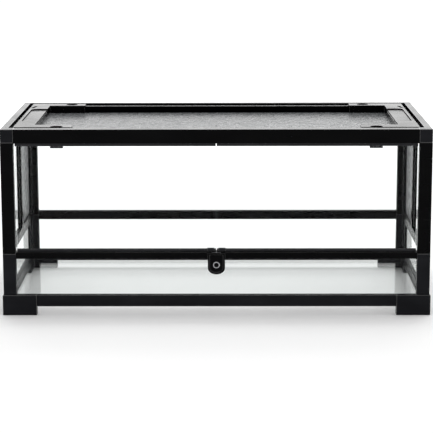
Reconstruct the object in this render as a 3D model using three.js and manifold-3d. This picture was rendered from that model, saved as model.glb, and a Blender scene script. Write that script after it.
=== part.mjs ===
// Front-opening glass terrarium cabinet: a plastic frame that holds glass panes, two hinged front doors
// with a lock, and a lift-out screened lid.
// Millimetres. +X runs along the width, +Y to the back, +Z up; the origin is under the middle of the base.
import * as THREE from "three";
import { mergeVertices } from "three/addons/utils/BufferGeometryUtils.js";
import Module from "manifold-3d";

const wasm = await Module();
wasm.setup();

// ---- Driving dimensions ----

// Frame over its posts and rails
const WIDTH = 912;
const DEPTH = 454;
const HEIGHT = 402;

// Plastic sections
const POST = 28; // outer side of a corner post
const WALL = 14.6; // thickness of a rail and of a post leg
const LEDGE = 11; // how far the ledge under the lid stands in from the front and back rails
const SIDE_LEDGE = 16; // and from the side rails
const LEDGE_HEIGHT = 9;
const TOP_RAIL_HEIGHT = 30;
const FRONT_RAIL_WIDTH = 22; // the top front rail, over its ledge
const TOP_CORNER_HEIGHT = 28.5;

// Base
const FOOT_HEIGHT = 44;
const FOOT_PROUD = 2.4; // how far a foot stands out from the posts
const FOOT_LENGTH = 73;
const BASE_CLEARANCE = 19; // from the ground to the base rails
const BASE_GLASS_RISE = 5.3; // from the base rails' underside to the base glass
const BASE_GLASS_THICKNESS = 5;

// Middle of the frame
const MID_RAIL_BOTTOM = 122.6;
const MID_RAIL_TOP = 143.3;
const POST_JOINT = 133.5; // where the upper posts stand on the lower ones
const SILL_BOTTOM = 123;
const SILL_TOP = 137;
const SILL_SETBACK = 2;
const VENT_BAR_FRONT = 12; // front face of the bar between side glass and vent screen
const VENT_BAR_WIDTH = 16;

// Panes and screens
const GLASS = 4;
const FRONT_GLASS_SETBACK = 9.3; // from the front face to the middle of the lower front pane
const SEAT = 4.6; // how deep a pane sits in its slot
const PLAY = 0.3; // clearance round seated and turning pieces
const SCREEN = 1.2;
const SCREEN_BORDER = 9; // solid border of a screen, partly in its groove
const SCREEN_STRAND = 2.4;

// Lid
const LID_SIDE_GAP = 8.8;
const LID_FRONT_GAP = 4;
const LID_BACK_GAP = 6;
const LID_TOP_DROP = 0.5; // lid ends lie this far under the rail tops
const LID_RAIL_DROP = 5.2;
const LID_END_LENGTH = 123.6;
const LID_RAIL_WIDTH = 27;
const LID_SIDE_BORDER = 41.8;
const LID_FRONT_BORDER = 45;
const LID_BACK_BORDER = 35;
const LID_SCREEN_RISE = 1.6; // lid underside to screen
const LID_BEVEL = 8;

// Lid latches
const LATCH_INSET = 91.6; // from the lid's side to a latch axis
const LATCH_FRONT_INSET = 15;
const LATCH_BACK_INSET = 14.4;
const KNOB_RADIUS = 13;
const KNOB_HEIGHT = 4.5;
const KNOB_RECESS = 11.3;
const GRIP_WIDTH = 5;
const GRIP_HEIGHT = 2.8;
const LATCH_SHAFT_RADIUS = 4;
const LATCH_FOOT_LENGTH = 27.6;
const LATCH_FOOT_WIDTH = 8;
const LATCH_FOOT_HEIGHT = 15.9;
const LATCH_FOOT_GAP = 0.6; // below the ledge

// Cable covers
const COVER_THICKNESS = 3;
const COVER_DROP = 2.6; // the covers lie this far under the top of the lid ends
const COVER_RADIUS = 17; // half of its width, and its rounded pivot end
const COVER_SIDE_INSET = 6.8;
const COVER_PIVOT_Y = -80;
const COVER_END_Y = 114;
const COVER_CORNER = 14;
const COVER_GROOVE = 1.1;
const COVER_PIN_RADIUS = 3;
const COVER_PIN_LENGTH = 10;
const CABLE_SLOT_WIDTH = 24;
const CABLE_SLOT_LENGTH = 30;
const CABLE_SLOT_END_INSET = 34; // from the cover's rear end
const NOTCH_RADIUS = 3.5; // the small slanted wire slot behind each cover
const NOTCH_START_INSET = 5.6; // from the lid's side
const NOTCH_END_INSET = 10.6;
const NOTCH_START_Y = 131;
const NOTCH_END_Y = 158;

// Doors
const DOOR_GAP = 1; // half of the gap between the doors
const DOOR_SIDE_GAP = 2;
const STRIP_THICKNESS = 8;
const STRIP_HEIGHT = 5.9;
const TOP_STRIP_HEIGHT = 6.5;
const STRIP_SETBACK = 8; // from the front face of the frame
const STRIP_WEB = 2.1; // strip left above or below the door glass
const PIVOT_INSET = 7; // from the post to the pivot axis
const PIVOT_RADIUS = 2.5;
const PIVOT_LENGTH = 4.3;
const CLIP_START = 4.5;
const CLIP_WIDTH = 15;
const CLIP_HEIGHT = 2.4; // above the strip
const CLIP_THICKNESS = 2.9;

// Lock
const LOCK_HALF_WIDTH = 18.4;
const LOCK_HEIGHT = 47;
const LOCK_ROUND = 14; // height of the rounded bottom
const LOCK_BACK_SETBACK = 6.8; // from the front face of the frame to the lock's back
const LOCK_DEPTH = 8.1;
const LOCK_RIM = 4.2;
const LOCK_RIM_PROUD = 1.5;
const LOCK_AXIS_DROP = 26.5; // from the lock's top to the cylinder axis
const LOCK_WALL = 2.3; // plate in front of the works
const CYLINDER_RADIUS = 7;
const KEYWAY_WIDTH = 1.6;
const KEYWAY_HEIGHT = 8;
const KEYWAY_DEPTH = 1.5;
const CAM_REACH = 12.5;
const CAM_HALF_WIDTH = 2.2;
const WORKS_THICKNESS = 3;
const BOLT_HALF_WIDTH = 10;
const BOLT_HEIGHT = 18.5;

// ---- Sizes that follow ----

const OUT_X = WIDTH / 2;
const OUT_Y = DEPTH / 2;
const WALL_X = OUT_X - WALL; // inner face of a side rail
const WALL_Y = OUT_Y - WALL;
const POST_X = OUT_X - POST; // inner end of a post leg
const POST_Y = OUT_Y - POST;
const FOOT_X = OUT_X + FOOT_PROUD;
const FOOT_Y = OUT_Y + FOOT_PROUD;
const PANE_X = OUT_X - WALL / 2; // middle of a side pane
const PANE_Y = OUT_Y - WALL / 2;
const FRONT_PANE_Y = -OUT_Y + FRONT_GLASS_SETBACK;
const RAIL_BOTTOM = HEIGHT - TOP_RAIL_HEIGHT;
const LEDGE_TOP = RAIL_BOTTOM + LEDGE_HEIGHT;
const CORNER_BOTTOM = HEIGHT - TOP_CORNER_HEIGHT;
const VENT_BAR_BACK = VENT_BAR_FRONT + VENT_BAR_WIDTH;
const UPPER_Z = [MID_RAIL_TOP - SEAT, RAIL_BOTTOM + SEAT];

const LID_X = WALL_X - LID_SIDE_GAP;
const LID_FRONT = -POST_Y + LID_FRONT_GAP;
const LID_BACK = WALL_Y - LID_BACK_GAP;
const LID_BOTTOM = LEDGE_TOP + PLAY;
const LID_TOP = HEIGHT - LID_TOP_DROP;
const LID_RAIL_TOP = HEIGHT - LID_RAIL_DROP;
const LID_JOINT_X = LID_X - LID_END_LENGTH;
const MESH_X = LID_X - LID_SIDE_BORDER; // inner edge of the lid's side border
const LID_SCREEN_Z = LID_BOTTOM + LID_SCREEN_RISE;
const LATCH_X = LID_X - LATCH_INSET;
const LATCH_Y = { front: LID_FRONT + LATCH_FRONT_INSET, back: LID_BACK - LATCH_BACK_INSET };

const COVER_X = LID_X - COVER_SIDE_INSET - COVER_RADIUS;
const COVER_TOP = LID_TOP - COVER_DROP;
const COVER_BOTTOM = COVER_TOP - COVER_THICKNESS;

const STRIP_FRONT = -OUT_Y + STRIP_SETBACK;
const STRIP_BACK = STRIP_FRONT + STRIP_THICKNESS;
const PIVOT_Y = (STRIP_FRONT + STRIP_BACK) / 2;
const PIVOT_X = POST_X - PIVOT_INSET;
const DOOR_X = POST_X - DOOR_SIDE_GAP;
const BOTTOM_STRIP_Z = SILL_TOP + PLAY + 0.1;
const TOP_STRIP_Z = RAIL_BOTTOM - PLAY - TOP_STRIP_HEIGHT;
const DOOR_GLASS_Z = [BOTTOM_STRIP_Z + STRIP_WEB + PLAY, RAIL_BOTTOM - 2 * PLAY - STRIP_WEB];

const LOCK_TOP = SILL_TOP - 0.5;
const LOCK_BACK = -OUT_Y + LOCK_BACK_SETBACK;
const LOCK_FRONT = LOCK_BACK - LOCK_DEPTH;
const LOCK_FACE = LOCK_FRONT + LOCK_RIM_PROUD;
const LOCK_AXIS_Z = LOCK_TOP - LOCK_AXIS_DROP;
const WORKS_FRONT = LOCK_FACE + LOCK_WALL + PLAY;
const WORKS_BACK = WORKS_FRONT + WORKS_THICKNESS;
const BOLT_TOP = LOCK_TOP - 0.2;

// ---- Materials ----

const MATERIALS = {
  frame: new THREE.MeshStandardMaterial({ color: 0x101216, roughness: 0.3 }),
  corner: new THREE.MeshStandardMaterial({ color: 0x14161c, roughness: 0.35 }),
  glass: new THREE.MeshStandardMaterial({
    color: 0xdce8e6,
    roughness: 0.05,
    transparent: true,
    opacity: 0.25,
  }),
  screen: new THREE.MeshStandardMaterial({ color: 0x6c7076, roughness: 0.6 }),
  works: new THREE.MeshStandardMaterial({ color: 0x9aa0a6, roughness: 0.35, metalness: 1 }),
};

// ---- Solids ----

function solidOf(geometry) {
  geometry.deleteAttribute("normal");
  geometry.deleteAttribute("uv");
  const merged = mergeVertices(geometry, 1e-4);
  const vertProperties = merged.attributes.position.array;
  const triVerts = new Uint32Array(merged.index.array);
  return new wasm.Manifold(new wasm.Mesh({ numProp: 3, vertProperties, triVerts }));
}

// A block between two corners, given in either order.
function block([xa, xb], [ya, yb], [za, zb]) {
  const size = [xb - xa, yb - ya, zb - za].map(Math.abs);
  const geometry = new THREE.BoxGeometry(...size);
  geometry.translate((xa + xb) / 2, (ya + yb) / 2, (za + zb) / 2);
  return solidOf(geometry);
}

// An upright cylinder.
function rod(x, y, [z0, z1], radius, sides = 20) {
  const geometry = new THREE.CylinderGeometry(radius, radius, z1 - z0, sides);
  geometry.rotateX(Math.PI / 2);
  geometry.translate(x, y, (z0 + z1) / 2);
  return solidOf(geometry);
}

// A cylinder along Y.
function barrel(z, [y0, y1], radius, sides = 32) {
  const geometry = new THREE.CylinderGeometry(radius, radius, y1 - y0, sides);
  geometry.translate(0, (y0 + y1) / 2, z);
  return solidOf(geometry);
}

// A plan outline raised between two heights.
function raised(shape, [z0, z1], curveSegments = 6) {
  const geometry = new THREE.ExtrudeGeometry(shape, { depth: z1 - z0, bevelEnabled: false, curveSegments });
  geometry.translate(0, 0, z0);
  return solidOf(geometry);
}

// A front outline, drawn in X and Z, given thickness in Y.
function upright(shape, [y0, y1], curveSegments = 10) {
  const geometry = new THREE.ExtrudeGeometry(shape, { depth: y1 - y0, bevelEnabled: false, curveSegments });
  geometry.rotateX(Math.PI / 2);
  geometry.translate(0, y1, 0);
  return solidOf(geometry);
}

function joined(...solids) {
  return solids.reduce((whole, solid) => whole.add(solid));
}

function cut(solid, ...tools) {
  return tools.reduce((rest, tool) => rest.subtract(tool), solid);
}

function grown([a, b], play = PLAY) {
  return [Math.min(a, b) - play, Math.max(a, b) + play];
}

function around(middle, thickness) {
  return [middle - thickness / 2, middle + thickness / 2];
}

// A pane or screen and the space that its slots leave for it.
function pane(x, y, z) {
  return { x, y, z, solid: block(x, y, z), space: block(grown(x), grown(y), grown(z)) };
}

const group = new THREE.Group();

function place(name, solid, material) {
  const { vertProperties, triVerts } = solid.getMesh();
  const geometry = new THREE.BufferGeometry();
  geometry.setAttribute("position", new THREE.BufferAttribute(new Float32Array(vertProperties), 3));
  geometry.setIndex(new THREE.BufferAttribute(new Uint32Array(triVerts), 1));
  geometry.computeVertexNormals();
  const mesh = new THREE.Mesh(geometry, MATERIALS[material].clone());
  mesh.name = name;
  group.add(mesh);
}

const SIDES = { left: -1, right: 1 };
const ENDS = { front: -1, back: 1 };

// ---- Panes ----

const LOWER_Z = [FOOT_HEIGHT - SEAT, MID_RAIL_BOTTOM + SEAT];
const SEATED_X = [-POST_X - SEAT, POST_X + SEAT];
const SEATED_Y = [-POST_Y - SEAT, POST_Y + SEAT];

const lowerGlass = {
  front: pane(SEATED_X, around(FRONT_PANE_Y, GLASS), LOWER_Z),
  back: pane(SEATED_X, around(PANE_Y, GLASS), LOWER_Z),
  left: pane(around(-PANE_X, GLASS), SEATED_Y, LOWER_Z),
  right: pane(around(PANE_X, GLASS), SEATED_Y, LOWER_Z),
};
const upperBack = pane(SEATED_X, around(PANE_Y, GLASS), UPPER_Z);
const sideGlass = {};
const ventSpace = {};
for (const [side, sx] of Object.entries(SIDES)) {
  sideGlass[side] = pane(around(sx * PANE_X, GLASS), [SEATED_Y[0], VENT_BAR_FRONT + SEAT], UPPER_Z);
  ventSpace[side] = pane(around(sx * PANE_X, SCREEN), [VENT_BAR_BACK - SEAT, SEATED_Y[1]], UPPER_Z);
}
const baseBottom = BASE_CLEARANCE + BASE_GLASS_RISE;
const baseGlass = pane(
  [-WALL_X - SEAT, WALL_X + SEAT],
  [-WALL_Y - SEAT, WALL_Y + SEAT],
  [baseBottom, baseBottom + BASE_GLASS_THICKNESS],
);
const spaces = [
  baseGlass,
  ...Object.values(lowerGlass),
  upperBack,
  ...Object.values(sideGlass),
  ...Object.values(ventSpace),
].map((seated) => seated.space);

// Frame pieces are cut by each pane space that reaches them.
function slotted(solid) {
  return cut(solid, ...spaces);
}

// ---- Base ----

const BASE_RAIL_Z = [BASE_CLEARANCE, FOOT_HEIGHT];
const FOOT_INNER_X = FOOT_X - FOOT_LENGTH;
const FOOT_INNER_Y = FOOT_Y - FOOT_LENGTH;

function cornerFoot(sx, sy) {
  const z = [0, FOOT_HEIGHT];
  const legX = block([sx * FOOT_INNER_X, sx * FOOT_X], [sy * WALL_Y, sy * FOOT_Y], z);
  const legY = block([sx * WALL_X, sx * FOOT_X], [sy * FOOT_INNER_Y, sy * FOOT_Y], z);
  return slotted(joined(legX, legY));
}

function baseRailAlongX(sy) {
  return slotted(block([-FOOT_INNER_X, FOOT_INNER_X], [sy * WALL_Y, sy * OUT_Y], BASE_RAIL_Z));
}

function baseRailAlongY(sx) {
  return slotted(block([sx * WALL_X, sx * OUT_X], [-FOOT_INNER_Y, FOOT_INNER_Y], BASE_RAIL_Z));
}

// ---- Posts, middle rails and top rails ----

function post(sx, sy, z) {
  const legX = block([sx * POST_X, sx * OUT_X], [sy * WALL_Y, sy * OUT_Y], z);
  const legY = block([sx * WALL_X, sx * OUT_X], [sy * POST_Y, sy * OUT_Y], z);
  return slotted(joined(legX, legY));
}

const MID_RAIL_Z = [MID_RAIL_BOTTOM, MID_RAIL_TOP];
const TOP_RAIL_Z = [RAIL_BOTTOM, HEIGHT];
const TOP_LEDGE_Z = [RAIL_BOTTOM, LEDGE_TOP];

function sideRail(sx, z) {
  return block([sx * WALL_X, sx * OUT_X], [-POST_Y, POST_Y], z);
}

function backRail(z) {
  return block([-POST_X, POST_X], [WALL_Y, OUT_Y], z);
}

function topSideRail(sx) {
  const ledge = block([sx * (WALL_X - SIDE_LEDGE), sx * OUT_X], [-POST_Y, POST_Y], TOP_LEDGE_Z);
  return slotted(joined(sideRail(sx, TOP_RAIL_Z), ledge));
}

function topBackRail() {
  const ledge = block([-POST_X, POST_X], [WALL_Y - LEDGE, OUT_Y], TOP_LEDGE_Z);
  return slotted(joined(backRail(TOP_RAIL_Z), ledge));
}

function pivotHole(sx, [z0, z1]) {
  return rod(sx * PIVOT_X, PIVOT_Y, [z0, z1], PIVOT_RADIUS + PLAY, 16);
}

function topFrontRail() {
  const beam = block([-POST_X, POST_X], [-OUT_Y, -OUT_Y + FRONT_RAIL_WIDTH], TOP_RAIL_Z);
  const ledgeX = WALL_X - SIDE_LEDGE;
  const ledge = block([-ledgeX, ledgeX], [-OUT_Y, -POST_Y + LEDGE], TOP_LEDGE_Z);
  const z = [RAIL_BOTTOM - 1, RAIL_BOTTOM + PIVOT_LENGTH + PLAY];
  return cut(joined(beam, ledge), pivotHole(-1, z), pivotHole(1, z));
}

function topCorner(sx, sy) {
  const z = [CORNER_BOTTOM, HEIGHT];
  const square = [[sx * POST_X, sx * OUT_X], [sy * POST_Y, sy * OUT_Y]];
  if (sy < 0) return slotted(block(...square, z));
  const legX = block([sx * POST_X, sx * OUT_X], [sy * WALL_Y, sy * OUT_Y], z);
  const legY = block([sx * WALL_X, sx * OUT_X], [sy * POST_Y, sy * OUT_Y], z);
  return slotted(joined(legX, legY, block(...square, [CORNER_BOTTOM, LEDGE_TOP])));
}

function sill() {
  const beam = block([-POST_X, POST_X], [-OUT_Y + SILL_SETBACK, -POST_Y], [SILL_BOTTOM, SILL_TOP]);
  const notchX = LOCK_HALF_WIDTH + 0.5;
  const notchY = [-OUT_Y - 1, LOCK_BACK + 0.4];
  const notch = block([-notchX, notchX], notchY, [SILL_BOTTOM - 1, SILL_TOP + 1]);
  const z = [SILL_TOP - PIVOT_LENGTH - PLAY, SILL_TOP + 1];
  return slotted(cut(beam, notch, pivotHole(-1, z), pivotHole(1, z)));
}

function ventBar(sx) {
  const y = [VENT_BAR_FRONT, VENT_BAR_BACK];
  return slotted(block([sx * WALL_X, sx * OUT_X], y, [MID_RAIL_TOP, RAIL_BOTTOM]));
}

// ---- Screens ----

// The spans of a row of equal gaps between strands, inside a solid border.
function gapSpans([a, b], count) {
  const step = (b - a - 2 * SCREEN_BORDER + SCREEN_STRAND) / count;
  const spans = [];
  for (let i = 0; i < count; i += 1) {
    const start = a + SCREEN_BORDER + i * step;
    spans.push([start, start + step - SCREEN_STRAND]);
  }
  return spans;
}

// A flat net: a sheet with rows of gaps, each cut by the block that makeGap gives for its two spans.
function net(sheet, acrossSpans, upSpans, makeGap) {
  let gaps = null;
  for (const across of acrossSpans) {
    for (const up of upSpans) {
      const gap = makeGap(across, up);
      gaps = gaps ? gaps.add(gap) : gap;
    }
  }
  return sheet.subtract(gaps);
}

const VENT_GAPS = { across: 6, up: 8 };

function ventScreen(seated) {
  const across = gapSpans(seated.y, VENT_GAPS.across);
  const up = gapSpans(seated.z, VENT_GAPS.up);
  return net(seated.solid, across, up, (y, z) => block(grown(seated.x, 1), y, z));
}

// The lid's screen, whose fine mesh is closed to whatever stands on it.
const lidSheet = pane(
  [-MESH_X - SEAT, MESH_X + SEAT],
  [LID_FRONT + LID_RAIL_WIDTH - SEAT, LID_BACK - LID_RAIL_WIDTH + SEAT],
  [LID_SCREEN_Z, LID_SCREEN_Z + SCREEN],
);

// ---- Lid ----

// The cover's plan: a rounded pivot end, straight sides and one rounded rear corner, grown by a margin.
function coverShape(sx, margin, openSide) {
  const radius = COVER_RADIUS + margin;
  const end = COVER_END_Y + margin;
  const inner = openSide ? COVER_RADIUS + 20 : radius;
  const corner = COVER_CORNER + margin;
  const outline = [];
  const turn = (x, y) => outline.push(new THREE.Vector2(sx * (COVER_X + x), y));
  turn(-inner, end);
  turn(-inner, openSide ? COVER_PIVOT_Y - radius : COVER_PIVOT_Y);
  for (let i = openSide ? 6 : 1; i <= 11; i += 1) {
    const angle = Math.PI + (i * Math.PI) / 12;
    turn(radius * Math.cos(angle), COVER_PIVOT_Y + radius * Math.sin(angle));
  }
  turn(radius, COVER_PIVOT_Y);
  for (let i = 0; i <= 5; i += 1) {
    const angle = (i * Math.PI) / 10;
    turn(radius - corner + corner * Math.cos(angle), end - corner + corner * Math.sin(angle));
  }
  return new THREE.Shape(outline);
}

// The slanted slot for thin wires, near the rear outer corner of a lid end.
function wireNotch(sx) {
  const z = [LID_BOTTOM - 1, LID_TOP + 1];
  const start = rod(sx * (LID_X - NOTCH_START_INSET), NOTCH_START_Y, z, NOTCH_RADIUS, 16);
  const end = rod(sx * (LID_X - NOTCH_END_INSET), NOTCH_END_Y, z, NOTCH_RADIUS, 16);
  return wasm.Manifold.hull([start, end]);
}

function lidEnd(sx) {
  const body = block([sx * LID_JOINT_X, sx * LID_X], [LID_FRONT, LID_BACK], [LID_BOTTOM, LID_TOP]);
  const openY = [LID_FRONT + LID_FRONT_BORDER, LID_BACK - LID_BACK_BORDER];
  const opening = block([sx * (LID_JOINT_X - 10), sx * MESH_X], openY, [LID_BOTTOM - 1, LID_TOP + 1]);
  const bevel = new THREE.Shape();
  bevel.moveTo(LID_FRONT - 1, LID_TOP - LID_BEVEL - 1);
  bevel.lineTo(LID_FRONT + LID_BEVEL + 1, LID_TOP + 1);
  bevel.lineTo(LID_FRONT - 1, LID_TOP + 1);
  bevel.closePath();
  const wedge = new THREE.ExtrudeGeometry(bevel, { depth: LID_END_LENGTH + 20, bevelEnabled: false });
  wedge.rotateX(Math.PI / 2);
  wedge.rotateZ(Math.PI / 2);
  wedge.translate(sx > 0 ? LID_JOINT_X - 10 : -LID_X - 10, 0, 0);
  const tools = [opening, solidOf(wedge), lidSheet.space, wireNotch(sx)];
  for (const y of Object.values(LATCH_Y)) {
    tools.push(rod(sx * LATCH_X, y, [LID_TOP - KNOB_RECESS, LID_TOP + 1], KNOB_RADIUS + 0.7, 32));
    tools.push(rod(sx * LATCH_X, y, [LID_BOTTOM - 1, LID_TOP], LATCH_SHAFT_RADIUS + PLAY));
  }
  tools.push(raised(coverShape(sx, COVER_GROOVE, true), [COVER_BOTTOM - PLAY, LID_TOP + 1]));
  const pinDepth = COVER_BOTTOM - COVER_PIN_LENGTH - PLAY;
  tools.push(rod(sx * COVER_X, COVER_PIVOT_Y, [pinDepth, COVER_TOP], COVER_PIN_RADIUS + PLAY, 16));
  const slotEnd = COVER_END_Y - CABLE_SLOT_END_INSET;
  const slotX = around(sx * COVER_X, CABLE_SLOT_WIDTH);
  tools.push(block(slotX, [slotEnd - CABLE_SLOT_LENGTH, slotEnd], [LID_BOTTOM - 1, LID_TOP]));
  return cut(body, ...tools);
}

function lidRail([y0, y1]) {
  return cut(block([-LID_JOINT_X, LID_JOINT_X], [y0, y1], [LID_BOTTOM, LID_RAIL_TOP]), lidSheet.space);
}

function lidLatch(sx, y) {
  const x = sx * LATCH_X;
  const knobBottom = LID_TOP - KNOB_RECESS + PLAY;
  const knobTop = knobBottom + KNOB_HEIGHT;
  const footTop = RAIL_BOTTOM - LATCH_FOOT_GAP;
  const footBottom = footTop - LATCH_FOOT_HEIGHT;
  const gripLength = 2 * KNOB_RADIUS - 3;
  return joined(
    rod(x, y, [knobBottom, knobTop], KNOB_RADIUS, 32),
    block(around(x, gripLength), around(y, GRIP_WIDTH), [knobTop - 1, knobTop + GRIP_HEIGHT]),
    rod(x, y, [footBottom + 1, knobBottom + 1], LATCH_SHAFT_RADIUS),
    block(around(x, LATCH_FOOT_LENGTH), around(y, LATCH_FOOT_WIDTH), [footBottom, footTop]),
  );
}

function cableCover(sx) {
  const plate = raised(coverShape(sx, 0, false), [COVER_BOTTOM, COVER_TOP]);
  const pinZ = [COVER_BOTTOM - COVER_PIN_LENGTH, COVER_BOTTOM + 1];
  return joined(plate, rod(sx * COVER_X, COVER_PIVOT_Y, pinZ, COVER_PIN_RADIUS, 16));
}

// ---- Doors ----

function doorGlass(sx) {
  return pane([sx * DOOR_GAP, sx * DOOR_X], around(PIVOT_Y, GLASS), DOOR_GLASS_Z);
}

function doorStrip(sx, z0, height, pinZ) {
  const strip = block([sx * DOOR_GAP, sx * DOOR_X], [STRIP_FRONT, STRIP_BACK], [z0, z0 + height]);
  return cut(joined(strip, rod(sx * PIVOT_X, PIVOT_Y, pinZ, PIVOT_RADIUS, 16)), doorGlass(sx).space);
}

function bottomStrip(sx) {
  const pinZ = [SILL_TOP - PIVOT_LENGTH + 0.3, BOTTOM_STRIP_Z + 1];
  const strip = doorStrip(sx, BOTTOM_STRIP_Z, STRIP_HEIGHT, pinZ);
  const clipX = [sx * CLIP_START, sx * (CLIP_START + CLIP_WIDTH)];
  const clipBack = PIVOT_Y - GLASS / 2 - PLAY;
  const clipY = [clipBack - CLIP_THICKNESS, clipBack];
  const clipZ = [BOTTOM_STRIP_Z + 1, BOTTOM_STRIP_Z + STRIP_HEIGHT + CLIP_HEIGHT];
  return joined(strip, block(clipX, clipY, clipZ));
}

function topStrip(sx) {
  const top = TOP_STRIP_Z + TOP_STRIP_HEIGHT;
  return doorStrip(sx, TOP_STRIP_Z, TOP_STRIP_HEIGHT, [top - 1, RAIL_BOTTOM + PIVOT_LENGTH - 0.3]);
}

// ---- Lock ----

// Straight sides, a flat top and a rounded bottom, drawn in by a margin.
function shieldShape(margin) {
  const half = LOCK_HALF_WIDTH - margin;
  const top = LOCK_TOP - margin;
  const shoulder = LOCK_TOP - LOCK_HEIGHT + LOCK_ROUND;
  const drop = LOCK_ROUND - margin;
  const shape = new THREE.Shape();
  shape.moveTo(half, top);
  shape.lineTo(-half, top);
  for (let i = 0; i <= 12; i += 1) {
    const angle = Math.PI + (i * Math.PI) / 12;
    shape.lineTo(half * Math.cos(angle), shoulder + drop * Math.sin(angle));
  }
  shape.closePath();
  return shape;
}

function lockBody() {
  const body = upright(shieldShape(0), [LOCK_FRONT, LOCK_BACK]);
  const face = upright(shieldShape(LOCK_RIM), [LOCK_FRONT - 1, LOCK_FACE]);
  const inside = [LOCK_FACE + LOCK_WALL, LOCK_BACK + 1];
  const boltWay = block(grown([-BOLT_HALF_WIDTH, BOLT_HALF_WIDTH]), inside, [LOCK_AXIS_Z, LOCK_TOP + 1]);
  const camWay = barrel(LOCK_AXIS_Z, inside, CAM_REACH + 1);
  const bore = barrel(LOCK_AXIS_Z, [LOCK_FRONT - 1, LOCK_BACK + 1], CYLINDER_RADIUS + PLAY);
  return cut(body, face, boltWay, camWay, bore);
}

function lockCylinder() {
  const nose = LOCK_FACE - 0.9;
  const keyX = around(0, KEYWAY_WIDTH);
  const keyZ = around(LOCK_AXIS_Z, KEYWAY_HEIGHT);
  const keyway = block(keyX, [nose - 1, nose + KEYWAY_DEPTH], keyZ);
  const camZ = [LOCK_AXIS_Z - CAM_HALF_WIDTH, LOCK_AXIS_Z + CAM_HALF_WIDTH];
  const cam = block([-CAM_REACH, 0], [WORKS_FRONT, WORKS_BACK], camZ);
  return cut(joined(barrel(LOCK_AXIS_Z, [nose, WORKS_BACK], CYLINDER_RADIUS), cam), keyway);
}

function lockBolt() {
  const x = [-BOLT_HALF_WIDTH, BOLT_HALF_WIDTH];
  return block(x, [WORKS_FRONT, WORKS_BACK], [BOLT_TOP - BOLT_HEIGHT, BOLT_TOP]);
}

// ---- The assembly ----

for (const [end, sy] of Object.entries(ENDS)) {
  place(`base_rail_${end}`, baseRailAlongX(sy), "frame");
  for (const [side, sx] of Object.entries(SIDES)) {
    place(`corner_foot_${end}_${side}`, cornerFoot(sx, sy), "corner");
    place(`lower_post_${end}_${side}`, post(sx, sy, [FOOT_HEIGHT, POST_JOINT]), "frame");
    place(`upper_post_${end}_${side}`, post(sx, sy, [POST_JOINT, CORNER_BOTTOM]), "frame");
    place(`top_corner_${end}_${side}`, topCorner(sx, sy), "corner");
    place(`lid_latch_${end}_${side}`, lidLatch(sx, LATCH_Y[end]), "frame");
  }
}
for (const [name, seated] of Object.entries(lowerGlass)) {
  place(`lower_glass_${name}`, seated.solid, "glass");
}
for (const [side, sx] of Object.entries(SIDES)) {
  place(`base_rail_${side}`, baseRailAlongY(sx), "frame");
  place(`mid_rail_${side}`, slotted(sideRail(sx, MID_RAIL_Z)), "frame");
  place(`top_rail_${side}`, topSideRail(sx), "frame");
  place(`side_glass_${side}`, sideGlass[side].solid, "glass");
  place(`vent_bar_${side}`, ventBar(sx), "frame");
  place(`vent_screen_${side}`, ventScreen(ventSpace[side]), "screen");
  place(`lid_end_${side}`, lidEnd(sx), "frame");
  place(`cable_cover_${side}`, cableCover(sx), "frame");
  place(`door_glass_${side}`, doorGlass(sx).solid, "glass");
  place(`door_bottom_strip_${side}`, bottomStrip(sx), "frame");
  place(`door_top_strip_${side}`, topStrip(sx), "frame");
}
place("base_glass", baseGlass.solid, "glass");
place("sill_rail", sill(), "frame");
place("mid_rail_back", slotted(backRail(MID_RAIL_Z)), "frame");
place("upper_glass_back", upperBack.solid, "glass");
place("top_rail_front", topFrontRail(), "frame");
place("top_rail_back", topBackRail(), "frame");
place("lid_rail_front", lidRail([LID_FRONT, LID_FRONT + LID_RAIL_WIDTH]), "frame");
place("lid_rail_back", lidRail([LID_BACK - LID_RAIL_WIDTH, LID_BACK]), "frame");
place("lid_screen", lidSheet.solid, "screen");
place("lock_body", lockBody(), "corner");
place("lock_cylinder", lockCylinder(), "works");
place("lock_bolt", lockBolt(), "frame");

export default group;
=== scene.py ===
"""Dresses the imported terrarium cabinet: moulded frame, clear panes, woven screens, lid, doors, lock.

Metres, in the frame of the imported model: +X to the right of the doors, +Y to the back, +Z up.
"""

import math

import bmesh
import bpy
from mathutils import Matrix, Vector


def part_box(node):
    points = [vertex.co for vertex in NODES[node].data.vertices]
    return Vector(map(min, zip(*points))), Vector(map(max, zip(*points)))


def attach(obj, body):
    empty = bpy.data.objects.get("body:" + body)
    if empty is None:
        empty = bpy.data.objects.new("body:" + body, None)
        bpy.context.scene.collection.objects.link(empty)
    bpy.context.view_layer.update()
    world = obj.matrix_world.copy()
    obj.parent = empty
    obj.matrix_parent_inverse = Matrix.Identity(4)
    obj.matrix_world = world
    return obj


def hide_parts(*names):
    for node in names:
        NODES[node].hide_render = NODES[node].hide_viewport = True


bl_info = {
    "name": "Terrarium Cabinet",
    "version": (1, 0, 0),
    "blender": (4, 5, 0),
    "location": "3D View > Sidebar > Terrarium",
    "description": "Finishes a front-opening glass terrarium cabinet over its packed model",
    "category": "Object",
}

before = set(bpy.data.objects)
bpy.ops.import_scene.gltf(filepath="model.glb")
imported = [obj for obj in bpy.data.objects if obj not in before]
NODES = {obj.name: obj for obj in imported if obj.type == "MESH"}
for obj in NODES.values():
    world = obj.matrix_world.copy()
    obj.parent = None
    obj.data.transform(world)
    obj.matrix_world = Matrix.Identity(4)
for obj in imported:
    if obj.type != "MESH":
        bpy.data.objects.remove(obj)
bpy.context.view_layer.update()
SIDES = ("left", "right")
ENDS = ("front", "back")
WALLS = ("front", "back", "left", "right")
X, Y, Z = range(3)
SQUARE = ((-1, -1), (1, -1), (1, 1), (-1, 1))  # the corners of a square round zero, in order

# ---- Values: finishes. Grain is in grains a metre, and a pair is a low and a high value ----

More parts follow.
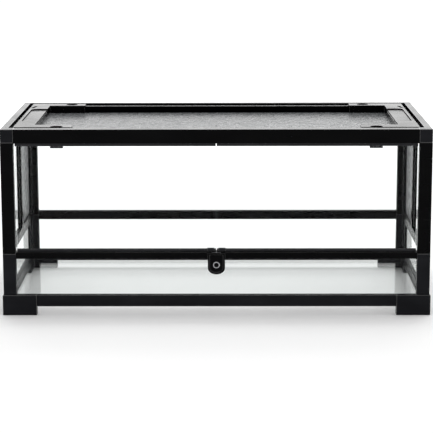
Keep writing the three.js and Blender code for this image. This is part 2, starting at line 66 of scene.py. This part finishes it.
GRAIN_DETAIL = 2.0
GRAIN_RANGE = (0.3, 0.7)  # what a noise value mostly fills of 0 to 1
FLOW_GRAIN = 9.0
FLOW_STRETCH = (1.0, 1.0, 3.0)
FLOW_ROUGHNESS = (-0.03, 0.04)  # on top of the moulding's roughness
FLOW_LIGHTER = 1.6  # a flow mark's colour is the moulding's times this
FLOW_LIFT = 0.001  # and plus this
SKIN_GRAIN = 900.0
SKIN_STRENGTH = 0.12
SKIN_DEPTH = 0.0001
GLASS_INDEX = 1.13  # low, so that a pane mirrors little over what stands behind it
PANE_FACING = (0.4, 0.6)  # share of a normal along the pane's axis, from its edge to its face
GROUND_ROUGHNESS = 0.35
WIRE_GRAIN = 60.0
WIRE_DARKER = 0.93
WIRE_ROUGHNESS = (0.22, 0.32)
TURNING_GRAIN = 1500.0
TURNING_DARKER = 0.8
STEEL_ROUGHNESS = (0.25, 0.4)

# The Mix node's colour sockets, which share their names with its other sockets
MIX_FIRST, MIX_SECOND, MIX_RESULT = 6, 7, 2

# ---- Values: making ----

WELD_DISTANCE = 0.00001
EDGE_SEGMENTS = 2
EDGE_ANGLE = math.radians(35)
CORNER_EDGE = 1.4  # these three are edge radii, as shares of the frame's
THIN_EDGE = 0.6
LOCK_EDGE = 0.5
OWN_SHEEN = 1  # place of the material that edges and the ridge have to themselves
WEAVE = 0.1  # how far each layer of wire lies off the middle, as a share of its thickness
RING_SIDES = 40

# ---- Values: stage ----

FLOOR_REACH = 60.0
FLOOR_DROP = 0.0002  # keeps the floor just clear of the feet
SKY_STRENGTH = 1.3
SKY_WIDTH = math.radians(60)
SKY_TILT = (math.radians(-12), math.radians(8), 0.0)
SOFTBOX_WIDTH = 6.0
SOFTBOX_HEIGHT = 2.4
SOFTBOX_PLACE = (0.0, 3.6, 1.25)
SOFTBOX_TILT = math.radians(-80)
SOFTBOX_DIFFUSE = 0.3
PICTURE_WIDTH = 433.0  # pixels
SENSOR_WIDTH = 36.0  # millimetres
CAMERA_PLACE = (0.0215, -3.686, 0.8961)
CAMERA_TURN = math.radians(0.349)
CAMERA_PITCH = math.radians(90 - 11.131)  # 90 is level
CAMERA_ROLL = math.radians(-0.110)
CLIP_START, CLIP_END = 0.05, 200.0


# ---- Materials ----


def start_material(name):
    """A material with nothing but its shader and its output, and short ways to add and join nodes."""
    material = bpy.data.materials.new(name)
    material.use_nodes = True
    tree = material.node_tree
    shader = tree.nodes["Principled BSDF"]

    def add(kind, **settings):
        node = tree.nodes.new(kind)
        for key, value in settings.items():
            if key in node.inputs:
                node.inputs[key].default_value = value
            else:
                setattr(node, key, value)
        return node

    return material, tree.links.new, shader, add


def grain(add, link, scale, stretch=(1.0, 1.0, 1.0)):
    """A noise value that stays with the piece, in real sizes."""
    place = add("ShaderNodeTexCoord")
    sized = add("ShaderNodeMapping", Scale=stretch)
    noise = add("ShaderNodeTexNoise", Scale=scale, Detail=GRAIN_DETAIL)
    link(place.outputs["Object"], sized.inputs["Vector"])
    link(sized.outputs["Vector"], noise.inputs["Vector"])
    return noise.outputs["Fac"]


def spread(add, link, value, low, high, source=GRAIN_RANGE):
    """Maps a value from its source range to another."""
    node = add("ShaderNodeMapRange")
    ends = {"From Min": source[0], "From Max": source[1], "To Min": low, "To Max": high}
    for key, number in ends.items():
        node.inputs[key].default_value = number
    link(value, node.inputs["Value"])
    return node.outputs["Result"]


def two_tones(add, link, value, first, second):
    """Blends from the first colour to the second as the value goes from 0 to 1."""
    node = add("ShaderNodeMix", data_type="RGBA")
    node.inputs[MIX_FIRST].default_value = (*first, 1.0)
    node.inputs[MIX_SECOND].default_value = (*second, 1.0)
    link(value, node.inputs["Factor"])
    return node.outputs[MIX_RESULT]


def bumpy(add, link, shader, height, strength, distance):
    """Raises the surface by a height value, in its shading alone."""
    bump = add("ShaderNodeBump", Strength=strength, Distance=distance)
    link(height, bump.inputs["Height"])
    link(bump.outputs["Normal"], shader.inputs["Normal"])


def moulded_plastic(name, colour, gloss, specular):
    """Black moulding with slight flow marks in its sheen and a very fine skin."""
    material, link, shader, add = start_material(name)
    flow = grain(add, link, FLOW_GRAIN, FLOW_STRETCH)
    skin = grain(add, link, SKIN_GRAIN)
    lighter = tuple(min(1.0, c * FLOW_LIGHTER + FLOW_LIFT) for c in colour)
    tone = two_tones(add, link, spread(add, link, flow, 0.0, 1.0), colour, lighter)
    link(tone, shader.inputs["Base Color"])
    low, high = (gloss + change for change in FLOW_ROUGHNESS)
    link(spread(add, link, flow, low, high), shader.inputs["Roughness"])
    bumpy(add, link, shader, skin, SKIN_STRENGTH, SKIN_DEPTH)
    shader.inputs["Specular IOR Level"].default_value = specular
    return material


def clear_glass(name, colour, edge_colour, across):
    """A clear pane; its edges, which don't face along the given axis, are pale green and ground."""
    material, link, shader, add = start_material(name)
    place = add("ShaderNodeTexCoord")
    parts = add("ShaderNodeSeparateXYZ")
    link(place.outputs["Normal"], parts.inputs["Vector"])
    facing = add("ShaderNodeMath", operation="ABSOLUTE")
    link(parts.outputs["XYZ".index(across)], facing.inputs[0])
    edge = spread(add, link, facing.outputs[0], 1.0, 0.0, PANE_FACING)
    link(two_tones(add, link, edge, colour, edge_colour), shader.inputs["Base Color"])
    rough = spread(add, link, edge, 0.0, GROUND_ROUGHNESS, (0.0, 1.0))
    link(rough, shader.inputs["Roughness"])
    shader.inputs["Transmission Weight"].default_value = 1.0
    shader.inputs["IOR"].default_value = GLASS_INDEX
    return material


def uneven_metal(add, link, shader, colour, scale, darkest, roughness):
    """Lets one grain vary a surface's colour, down to its darkest share, and its roughness."""
    marks = grain(add, link, scale)
    darker = tuple(c * darkest for c in colour)
    tone = two_tones(add, link, spread(add, link, marks, 0.0, 1.0), darker, colour)
    link(tone, shader.inputs["Base Color"])
    link(spread(add, link, marks, *roughness), shader.inputs["Roughness"])


def screen_wire(name, colour):
    """Coated wire, a little uneven in tone."""
    material, link, shader, add = start_material(name)
    uneven_metal(add, link, shader, colour, WIRE_GRAIN, WIRE_DARKER, WIRE_ROUGHNESS)
    return material


def plated_steel(name, colour):
    """Satin plated metal with fine turning marks."""
    material, link, shader, add = start_material(name)
    uneven_metal(add, link, shader, colour, TURNING_GRAIN, TURNING_DARKER, STEEL_ROUGHNESS)
    shader.inputs["Metallic"].default_value = 1.0
    return material


def material_named(name, make):
    """The scene's material of that name, made on first use."""
    return bpy.data.materials.get(name) or make(name)


def plastic(name, colour, gloss, specular):
    """The moulded plastic of that name, made on first use."""
    return material_named(name, lambda new: moulded_plastic(new, tuple(colour), gloss, specular))


def frame_plastic():
    looks = bpy.context.scene.terrarium_plastic
    return plastic("frame_plastic", looks.frame_colour, looks.gloss, looks.specular)


def corner_plastic():
    looks = bpy.context.scene.terrarium_plastic
    return plastic("corner_plastic", looks.corner_colour, looks.gloss, looks.corner_specular)


# Painted light: the frame's black made lighter for the door strips, in place of the light they catch
def strip_plastic():
    looks = bpy.context.scene.terrarium_plastic
    return plastic("strip_plastic", looks.lit_strip_colour, looks.gloss, looks.corner_specular)


def edge_plastic():
    looks = bpy.context.scene.terrarium_plastic
    return plastic("edge_plastic", looks.frame_colour, looks.gloss, looks.edge_specular)


def slope_plastic():
    looks = bpy.context.scene.terrarium_plastic
    return plastic("slope_plastic", looks.frame_colour, looks.slope_gloss, 0.0)


def ridge_plastic():
    looks = bpy.context.scene.terrarium_plastic
    return plastic("ridge_plastic", looks.frame_colour, looks.ridge_gloss, looks.ridge_specular)


# Painted light and reflection: the latches' black made lighter, for their lit front faces and the
# glass mirrored in them
def latch_plastic():
    looks = bpy.context.scene.terrarium_plastic
    return plastic("latch_plastic", looks.lit_latch_colour, looks.gloss, looks.corner_specular)


def pane_glass(across):
    looks = bpy.context.scene.terrarium_glass
    tints = tuple(looks.colour), tuple(looks.edge_colour)
    name = f"pane_glass_{across.lower()}"
    return material_named(name, lambda new: clear_glass(new, *tints, across))


def wire_coat():
    looks = bpy.context.scene.terrarium_screen
    return material_named("screen_wire", lambda new: screen_wire(new, tuple(looks.colour)))


# Painted sheen: the vents' wire made paler than the lid's, for the bright reflection seen along the
# side walls
def vent_sheen_coat():
    looks = bpy.context.scene.terrarium_screen
    return material_named("vent_wire", lambda new: screen_wire(new, tuple(looks.vent_sheen_colour)))


def lock_steel():
    looks = bpy.context.scene.terrarium_plastic
    return material_named("lock_steel", lambda new: plated_steel(new, tuple(looks.steel_colour)))


# ---- Shared making ----


def finish_node(name, material, edge, edge_material=None):
    """Gives a carried-over node its material and broken edges, which may have a sheen of their own."""
    node = NODES[name]
    node.data.materials.clear()
    node.data.materials.append(material)
    for polygon in node.data.polygons:
        polygon.use_smooth = True
    weld = node.modifiers.new("Weld", "WELD")
    weld.merge_threshold = WELD_DISTANCE
    if edge:
        bevel = node.modifiers.new("Broken edges", "BEVEL")
        if edge_material:
            node.data.materials.append(edge_material)
            bevel.material = OWN_SHEEN
        bevel.width = edge
        bevel.segments = EDGE_SEGMENTS
        bevel.limit_method = "ANGLE"
        bevel.angle_limit = EDGE_ANGLE
        bevel.harden_normals = True
    weighted = node.modifiers.new("Flat faces", "WEIGHTED_NORMAL")
    weighted.keep_sharp = True
    return node


def new_piece(name, mesh, body, material, replaces=()):
    """A new piece that rides on a body."""
    piece = bpy.data.objects.new(name, mesh)
    bpy.context.scene.collection.objects.link(piece)
    mesh.materials.append(material)
    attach(piece, body)
    if replaces:
        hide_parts(*replaces)
    return piece


def outward_mesh(name, work):
    """Ends a mesh that is being made, with its faces to the outside."""
    bmesh.ops.recalc_face_normals(work, faces=work.faces)
    mesh = bpy.data.meshes.new(name)
    work.to_mesh(mesh)
    work.free()
    return mesh


def wire_mesh(name, low, high, along, across, through, looks):
    """A woven screen of flattened wires between two corners, which lies flat across its third axis."""
    pitch, wire, thickness = looks.pitch, looks.wire, looks.thickness
    work = bmesh.new()
    middle = (low[through] + high[through]) / 2

    def lay(run, step, offset):
        """Lays wires that run along one axis, step by step along the other."""
        count = max(2, int((high[step] - low[step]) / pitch))
        spacing = (high[step] - low[step] - wire) / count
        for i in range(count + 1):
            at = low[step] + wire / 2 + i * spacing
            rings = []
            for end in (low[run], high[run]):
                ring = []
                for side, level in SQUARE:
                    point = [0.0, 0.0, 0.0]
                    point[run] = end
                    point[step] = at + side * wire / 2
                    point[through] = middle + offset + level * thickness / 2
                    ring.append(work.verts.new(point))
                rings.append(ring)
            for k in range(4):
                work.faces.new((rings[0][k], rings[0][k - 1], rings[1][k - 1], rings[1][k]))
            work.faces.new(rings[0])
            work.faces.new(reversed(rings[1]))

    lay(along, across, thickness * WEAVE)
    lay(across, along, -thickness * WEAVE)
    return outward_mesh(name, work)


def ridged_bar(name, low, high, looks, edge):
    """A bar along X: a raised ridge at its back falls gently, then a slope runs down to its front."""
    top = high.z + looks.ridge_rise
    outline = [
        (low.y, low.z),
        (high.y, low.z),
        (high.y, top - edge),
        (high.y - edge, top),
        (high.y - looks.ridge_width, top - looks.ridge_fall),
        (low.y, high.z - looks.slope_drop),
    ]
    ridge_faces = (3, 4)  # its broken edge and its top, by the point where each ends
    work = bmesh.new()
    ends = [[work.verts.new((x, y, z)) for y, z in outline] for x in (low.x, high.x)]
    work.faces.new(ends[0])
    work.faces.new(reversed(ends[1]))
    for k in range(len(outline)):
        face = work.faces.new((ends[0][k], ends[0][k - 1], ends[1][k - 1], ends[1][k]))
        face.material_index = OWN_SHEEN if k in ridge_faces else 0
    return outward_mesh(name, work)


def ring_mesh(name, centre, outer, inner, front, back):
    """A flat ring round an axis along Y, from its front face to its back face."""
    work = bmesh.new()
    rings = []
    for radius, y in ((outer, back), (outer, front), (inner, front), (inner, back)):
        ring = []
        for i in range(RING_SIDES):
            angle = 2 * math.pi * i / RING_SIDES
            x = centre.x + radius * math.cos(angle)
            z = centre.z + radius * math.sin(angle)
            ring.append(work.verts.new((x, y, z)))
        rings.append(ring)
    for k in range(4):
        here, there = rings[k - 1], rings[k]
        for i in range(RING_SIDES):
            work.faces.new((here[i - 1], here[i], there[i], there[i - 1]))
    return outward_mesh(name, work)


# ---- Settings ----


class PlasticSettings(bpy.types.PropertyGroup):
    """Colours and sheen of the mouldings and the lock"""

    frame_colour: bpy.props.FloatVectorProperty(
        name="Frame colour", description="Colour of upper rails and posts, lid and lock",
        subtype="COLOR", size=3, min=0.0, max=1.0, default=(0.0005, 0.0005, 0.0007),
    )
    corner_colour: bpy.props.FloatVectorProperty(
        name="Corner colour", description="Colour of feet, lower frame and top corners",
        subtype="COLOR", size=3, min=0.0, max=1.0, default=(0.0085, 0.0087, 0.0102),
    )
    # The door strips are the frame's black plastic; this lighter colour is painted light, standing in
    # for the light the strips catch
    lit_strip_colour: bpy.props.FloatVectorProperty(
        name="Strip colour", description="Colour of the door strips",
        subtype="COLOR", size=3, min=0.0, max=1.0, default=(0.02, 0.02, 0.022),
    )
    # The latches are black plastic; this lighter colour is painted light and painted reflection, for
    # their lit front faces and the glass mirrored in them
    lit_latch_colour: bpy.props.FloatVectorProperty(
        name="Latch colour", description="Colour of the lid latches",
        subtype="COLOR", size=3, min=0.0, max=1.0, default=(0.03, 0.03, 0.032),
    )
    steel_colour: bpy.props.FloatVectorProperty(
        name="Lock metal", description="Colour of the lock's ring and bolt",
        subtype="COLOR", size=3, min=0.0, max=1.0, default=(0.32, 0.33, 0.35),
    )
    gloss: bpy.props.FloatProperty(
        name="Roughness", description="Roughness of the moulded skin",
        subtype="FACTOR", min=0.0, max=1.0, default=0.24,
    )
    specular: bpy.props.FloatProperty(
        name="Frame reflection", description="Specular level of the frame",
        subtype="FACTOR", min=0.0, max=1.0, default=0.04,
    )
    corner_specular: bpy.props.FloatProperty(
        name="Corner reflection", description="Specular level of corners, door strips and latches",
        subtype="FACTOR", min=0.0, max=1.0, default=0.03,
    )
    edge_specular: bpy.props.FloatProperty(
        name="Edge reflection", description="Specular level of the broken edges",
        subtype="FACTOR", min=0.0, max=1.0, default=1.0,
    )
    slope_gloss: bpy.props.FloatProperty(
        name="Slope roughness", description="Roughness under the lid's ridge",
        subtype="FACTOR", min=0.0, max=1.0, default=0.6,
    )
    ridge_gloss: bpy.props.FloatProperty(
        name="Ridge roughness", description="Roughness of the lid's ridge",
        subtype="FACTOR", min=0.0, max=1.0, default=0.1,
    )
    ridge_specular: bpy.props.FloatProperty(
        name="Ridge reflection", description="Specular level of the lid's ridge",
        subtype="FACTOR", min=0.0, max=1.0, default=1.0,
    )
    edge: bpy.props.FloatProperty(
        name="Edge radius", description="Width of the broken edges",
        unit="LENGTH", min=0.0, default=0.0007,
    )


class GlassSettings(bpy.types.PropertyGroup):
    """Tints and edges of the panes"""

    colour: bpy.props.FloatVectorProperty(
        name="Glass colour", description="Tint of the panes",
        subtype="COLOR", size=3, min=0.0, max=1.0, default=(0.985, 1.0, 0.995),
    )
    edge_colour: bpy.props.FloatVectorProperty(
        name="Edge colour", description="Tint of the panes' ground edges",
        subtype="COLOR", size=3, min=0.0, max=1.0, default=(0.62, 0.82, 0.76),
    )
    arris: bpy.props.FloatProperty(
        name="Arris", description="Width of the ground arris",
        unit="LENGTH", min=0.0, default=0.0004,
    )


class ScreenSettings(bpy.types.PropertyGroup):
    """Colours and weave of the wire screens"""

    colour: bpy.props.FloatVectorProperty(
        name="Wire colour", description="Colour of the lid screen's wire",
        subtype="COLOR", size=3, min=0.0, max=1.0, default=(0.13, 0.135, 0.14),
    )
    # The vents' wire is the same as the lid's; this paler colour is painted sheen, standing in for the
    # bright reflection the vents show when seen along the side walls
    vent_sheen_colour: bpy.props.FloatVectorProperty(
        name="Vent wire colour", description="Colour of the side vents' wire",
        subtype="COLOR", size=3, min=0.0, max=1.0, default=(0.38, 0.385, 0.39),
    )
    pitch: bpy.props.FloatProperty(
        name="Wire pitch", description="Distance from wire to wire",
        unit="LENGTH", min=0.0005, default=0.0015,
    )
    wire: bpy.props.FloatProperty(
        name="Wire width", description="Width of a flattened wire",
        unit="LENGTH", min=0.0001, default=0.0006,
    )
    thickness: bpy.props.FloatProperty(
        name="Wire thickness", description="Thickness of a flattened wire",
        unit="LENGTH", min=0.00005, default=0.00015,
    )


class LidSettings(bpy.types.PropertyGroup):
    """Shape of the lid's back rail"""

    ridge_width: bpy.props.FloatProperty(
        name="Ridge width", description="Width of the ridge on the lid's back rail",
        unit="LENGTH", min=0.0, default=0.015,
    )
    ridge_rise: bpy.props.FloatProperty(
        name="Ridge rise", description="How far the ridge stands over the plain rail",
        unit="LENGTH", min=0.0, default=0.0015,
    )
    ridge_fall: bpy.props.FloatProperty(
        name="Ridge fall", description="How far the ridge falls to its front",
        unit="LENGTH", min=0.0, default=0.0006,
    )
    slope_drop: bpy.props.FloatProperty(
        name="Slope drop", description="How far the rail's front lies under its back",
        unit="LENGTH", min=0.0, default=0.0075,
    )


class LockSettings(bpy.types.PropertyGroup):
    """Place and size of the lock's plated ring"""

    axis_height: bpy.props.FloatProperty(
        name="Key height", description="Height of the cylinder's axis",
        unit="LENGTH", default=0.110,
    )
    ring_radius: bpy.props.FloatProperty(
        name="Ring radius", description="Outer radius of the plated ring",
        unit="LENGTH", min=0.001, default=0.0068,
    )
    ring_width: bpy.props.FloatProperty(
        name="Ring width", description="Width of the plated ring",
        unit="LENGTH", min=0.0001, default=0.0014,
    )
    ring_proud: bpy.props.FloatProperty(
        name="Ring height", description="How far the ring stands out",
        unit="LENGTH", min=0.0, default=0.0003,
    )


class StageSettings(bpy.types.PropertyGroup):
    """The picture's focal length and its soft lights"""

    focal_pixels: bpy.props.FloatProperty(
        name="Focal length", description="Focal length in pixels of the 433 px frame",
        min=1.0, default=1660.8,
    )
    dome: bpy.props.FloatProperty(
        name="Dome light", description="Strength of the even light from all round",
        min=0.0, default=0.62,
    )
    back_light: bpy.props.FloatProperty(
        name="Back light", description="Radiance of the softbox behind",
        min=0.0, default=1.5,
    )


# ---- Pieces ----


class TERRARIUM_OT_frame(bpy.types.Operator):
    """Finish the rails, posts, feet and corner blocks of the glass frame"""

    bl_idname = "terrarium.finish_frame"
    bl_label = "Finish Frame"

    def execute(self, context):
        edge = context.scene.terrarium_plastic.edge
        corners = [f"{end}_{side}" for end in ENDS for side in SIDES]
        upper = [f"top_rail_{wall}" for wall in WALLS]
        upper += ["mid_rail_back", "mid_rail_left", "mid_rail_right", "sill_rail"]
        upper += [f"vent_bar_{side}" for side in SIDES]
        upper += [f"upper_post_{corner}" for corner in corners]
        for name in upper:
            finish_node(name, frame_plastic(), edge, edge_plastic())
        lower = [f"base_rail_{wall}" for wall in WALLS]
        lower += [f"lower_post_{corner}" for corner in corners]
        for name in lower:
            finish_node(name, corner_plastic(), edge, edge_plastic())
        for kind in ("corner_foot", "top_corner"):
            for corner in corners:
                name = f"{kind}_{corner}"
                finish_node(name, corner_plastic(), edge * CORNER_EDGE, edge_plastic())
        return {"FINISHED"}


class TERRARIUM_OT_glass(bpy.types.Operator):
    """Make the panes of clear glass with ground edges"""

    bl_idname = "terrarium.finish_glass"
    bl_label = "Finish Glass"

    def execute(self, context):
        arris = context.scene.terrarium_glass.arris
        panes = {"lower_glass_front": "Y", "lower_glass_back": "Y", "upper_glass_back": "Y"}
        panes["base_glass"] = "Z"
        for side in SIDES:
            panes[f"lower_glass_{side}"] = "X"
            panes[f"side_glass_{side}"] = "X"
            panes[f"door_glass_{side}"] = "Y"
        for name, across in panes.items():
            pane = finish_node(name, pane_glass(across), arris)
            pane.visible_shadow = False
            pane.visible_diffuse = False
        return {"FINISHED"}


class TERRARIUM_OT_screens(bpy.types.Operator):
    """Weave the wire screens of the lid and of the side vents"""

    bl_idname = "terrarium.weave_screens"
    bl_label = "Weave Screens"

    def execute(self, context):
        looks = context.scene.terrarium_screen
        low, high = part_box("lid_screen")
        mesh = wire_mesh("lid_wire", low, high, X, Y, Z, looks)
        wires = [new_piece("lid_wire", mesh, "lid", wire_coat(), ["lid_screen"])]
        for side in SIDES:
            low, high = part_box(f"vent_screen_{side}")
            name = f"vent_wire_{side}"
            mesh = wire_mesh(name, low, high, Y, Z, X, looks)
            screen = f"vent_screen_{side}"
            wires.append(new_piece(name, mesh, "cabinet", vent_sheen_coat(), [screen]))
        for wire in wires:
            wire.visible_shadow = False
        return {"FINISHED"}


class TERRARIUM_OT_lid(bpy.types.Operator):
    """Finish the lid's ends and rails, its turning latches and its cable covers"""

    bl_idname = "terrarium.finish_lid"
    bl_label = "Finish Lid"

    def execute(self, context):
        edge = context.scene.terrarium_plastic.edge
        for name in ("lid_end_left", "lid_end_right", "lid_rail_front"):
            finish_node(name, frame_plastic(), edge, edge_plastic())
        low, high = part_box("lid_rail_back")
        name = "ridged_rail_back"
        mesh = ridged_bar(name, low, high, context.scene.terrarium_lid, edge)
        rail = new_piece(name, mesh, "lid", slope_plastic(), ["lid_rail_back"])
        rail.data.materials.append(ridge_plastic())
        for side in SIDES:
            finish_node(f"cable_cover_{side}", frame_plastic(), edge * THIN_EDGE)
            for end in ENDS:
                finish_node(f"lid_latch_{end}_{side}", latch_plastic(), edge)
        return {"FINISHED"}


class TERRARIUM_OT_doors(bpy.types.Operator):
    """Finish the strips that carry the door panes"""

    bl_idname = "terrarium.finish_doors"
    bl_label = "Finish Doors"

    def execute(self, context):
        edge = context.scene.terrarium_plastic.edge * THIN_EDGE
        for side in SIDES:
            for level in ("bottom", "top"):
                name = f"door_{level}_strip_{side}"
                finish_node(name, strip_plastic(), edge, edge_plastic())
        return {"FINISHED"}


class TERRARIUM_OT_lock(bpy.types.Operator):
    """Finish the lock under the doors' meeting edges"""

    bl_idname = "terrarium.finish_lock"
    bl_label = "Finish Lock"

    def execute(self, context):
        edge = context.scene.terrarium_plastic.edge
        finish_node("lock_body", frame_plastic(), edge * CORNER_EDGE, edge_plastic())
        finish_node("lock_cylinder", frame_plastic(), edge * LOCK_EDGE)
        looks = context.scene.terrarium_lock
        axis = Vector((0.0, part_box("lock_cylinder")[0].y, looks.axis_height))
        inner = looks.ring_radius - looks.ring_width
        front, back = axis.y - looks.ring_proud, axis.y + looks.ring_proud
        mesh = ring_mesh("lock_ring", axis, looks.ring_radius, inner, front, back)
        new_piece("lock_ring", mesh, "lock_turn", lock_steel())
        finish_node("lock_bolt", lock_steel(), edge * LOCK_EDGE)
        return {"FINISHED"}


class TERRARIUM_OT_stage(bpy.types.Operator):
    """Set the white floor, the soft lights and the camera"""

    bl_idname = "terrarium.set_stage"
    bl_label = "Set Stage"

    def execute(self, context):
        looks = context.scene.terrarium_stage
        self.set_world(looks)
        self.lay_floor()
        self.hang_lights(looks)
        self.place_camera(looks)
        context.scene.view_settings.view_transform = "Standard"
        return {"FINISHED"}

    def set_world(self, looks):
        """White where it is seen, mirrored or looked through to, and a gentler light elsewhere."""
        world = bpy.data.worlds.new("Studio")
        bpy.context.scene.world = world
        world.use_nodes = True
        tree = world.node_tree
        shade = tree.nodes["Background"]
        shade.inputs["Color"].default_value = (1.0, 1.0, 1.0, 1.0)
        rays = tree.nodes.new("ShaderNodeLightPath")
        seen = None
        for kind in ("Is Camera Ray", "Is Glossy Ray", "Is Transmission Ray"):
            if seen is None:
                seen = rays.outputs[kind]
                continue
            more = tree.nodes.new("ShaderNodeMath")
            more.operation = "MAXIMUM"
            tree.links.new(seen, more.inputs[0])
            tree.links.new(rays.outputs[kind], more.inputs[1])
            seen = more.outputs[0]
        level = tree.nodes.new("ShaderNodeMapRange")
        level.inputs["To Min"].default_value = looks.dome
        level.inputs["To Max"].default_value = 1.0
        tree.links.new(seen, level.inputs["Value"])
        tree.links.new(level.outputs["Result"], shade.inputs["Strength"])

    def lay_floor(self):
        """A matt white floor that takes the shadow."""
        mesh = bpy.data.meshes.new("floor")
        corners = [(x * FLOOR_REACH, y * FLOOR_REACH, 0) for x, y in SQUARE]
        mesh.from_pydata(corners, [], [(0, 1, 2, 3)])
        floor = bpy.data.objects.new("floor", mesh)
        floor.location.z = -FLOOR_DROP
        bpy.context.scene.collection.objects.link(floor)
        material, _, shader, _ = start_material("floor_white")
        shader.inputs["Base Color"].default_value = (1.0, 1.0, 1.0, 1.0)
        shader.inputs["Roughness"].default_value = 1.0
        shader.inputs["Specular IOR Level"].default_value = 0.0
        mesh.materials.append(material)

    def hang_lights(self, looks):
        """A broad light from above, and a softbox behind that mostly shines in the mouldings."""
        sun = bpy.data.lights.new("sky_panel", "SUN")
        sun.energy = SKY_STRENGTH
        sun.angle = SKY_WIDTH
        lamp = bpy.data.objects.new("sky_panel", sun)
        lamp.rotation_euler = SKY_TILT
        bpy.context.scene.collection.objects.link(lamp)

        area = bpy.data.lights.new("back_softbox", "AREA")
        area.shape = "RECTANGLE"
        area.size = SOFTBOX_WIDTH
        area.size_y = SOFTBOX_HEIGHT
        area.energy = looks.back_light * math.pi * area.size * area.size_y
        area.diffuse_factor = SOFTBOX_DIFFUSE
        box = bpy.data.objects.new("back_softbox", area)
        box.location = SOFTBOX_PLACE
        box.rotation_euler = (SOFTBOX_TILT, 0.0, 0.0)
        box.visible_camera = False
        box.visible_transmission = False
        bpy.context.scene.collection.objects.link(box)

    def place_camera(self, looks):
        """A camera that looks at the doors from a little above."""
        camera = bpy.data.cameras.new("camera")
        camera.sensor_width = SENSOR_WIDTH
        camera.lens = looks.focal_pixels / PICTURE_WIDTH * camera.sensor_width
        camera.clip_start = CLIP_START
        camera.clip_end = CLIP_END
        eye = bpy.data.objects.new("camera", camera)
        turned = Matrix.Rotation(CAMERA_TURN, 4, "Z")
        pitched = Matrix.Rotation(CAMERA_PITCH, 4, "X")
        rolled = Matrix.Rotation(CAMERA_ROLL, 4, "Z")
        eye.matrix_world = Matrix.Translation(CAMERA_PLACE) @ turned @ pitched @ rolled
        bpy.context.scene.collection.objects.link(eye)
        bpy.context.scene.camera = eye


class TERRARIUM_PT_panel(bpy.types.Panel):
    """Lists the steps that finish the cabinet, and their settings"""

    bl_label = "Terrarium Cabinet"
    bl_idname = "TERRARIUM_PT_panel"
    bl_space_type = "VIEW_3D"
    bl_region_type = "UI"
    bl_category = "Terrarium"

    def draw(self, context):
        for operator in OPERATORS:
            self.layout.operator(operator.bl_idname)
        for group in SETTINGS:
            settings = getattr(context.scene, group)
            for key in settings.bl_rna.properties.keys():
                if key not in ("rna_type", "name"):
                    self.layout.prop(settings, key)


SETTINGS = {
    "terrarium_plastic": PlasticSettings,
    "terrarium_glass": GlassSettings,
    "terrarium_screen": ScreenSettings,
    "terrarium_lid": LidSettings,
    "terrarium_lock": LockSettings,
    "terrarium_stage": StageSettings,
}
OPERATORS = (
    TERRARIUM_OT_frame,
    TERRARIUM_OT_glass,
    TERRARIUM_OT_screens,
    TERRARIUM_OT_lid,
    TERRARIUM_OT_doors,
    TERRARIUM_OT_lock,
    TERRARIUM_OT_stage,
)


def register():
    for cls in (*SETTINGS.values(), *OPERATORS, TERRARIUM_PT_panel):
        bpy.utils.register_class(cls)
    for name, cls in SETTINGS.items():
        setattr(bpy.types.Scene, name, bpy.props.PointerProperty(type=cls))


def unregister():
    for name in SETTINGS:
        delattr(bpy.types.Scene, name)
    for cls in (TERRARIUM_PT_panel, *reversed(OPERATORS), *reversed(SETTINGS.values())):
        bpy.utils.unregister_class(cls)


def main():
    register()
    for operator in OPERATORS:
        module, name = operator.bl_idname.split(".")
        getattr(getattr(bpy.ops, module), name)()


if __name__ == "__main__":
    main()
